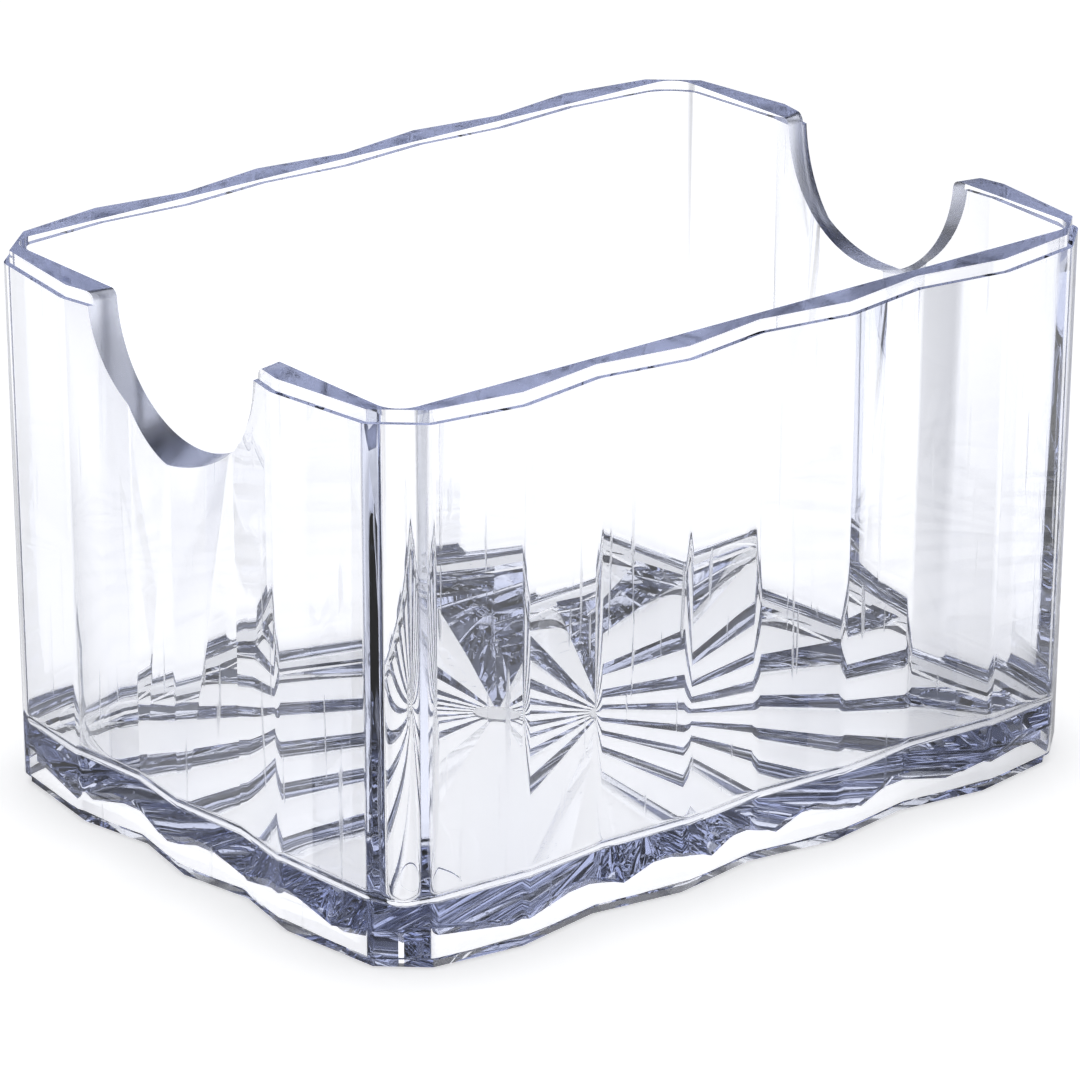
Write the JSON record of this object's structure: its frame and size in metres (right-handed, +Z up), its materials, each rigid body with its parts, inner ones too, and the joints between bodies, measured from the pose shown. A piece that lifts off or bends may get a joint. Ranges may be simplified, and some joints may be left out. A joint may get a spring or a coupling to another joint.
{
  "type": "sugar packet holder",
  "caption": "Open clear tub that stands sugar packets upright, with gently bulged facet walls, a round finger notch in each end and a thick base cut from below with radial grooves.",
  "frame": {"origin": "middle of the footprint, on the surface that the foot stands on", "axes": "+X along the long sides, +Y across the tub, +Z up towards the rim"},
  "size_m": [0.1144, 0.0852, 0.0696],
  "materials": {
    "clear_plastic": "clear, polished, with a faint violet-grey cast in thick sections"
  },
  "bodies": {
    "root": {"holder_body": "clear_plastic"}
  },
  "joints": []
}
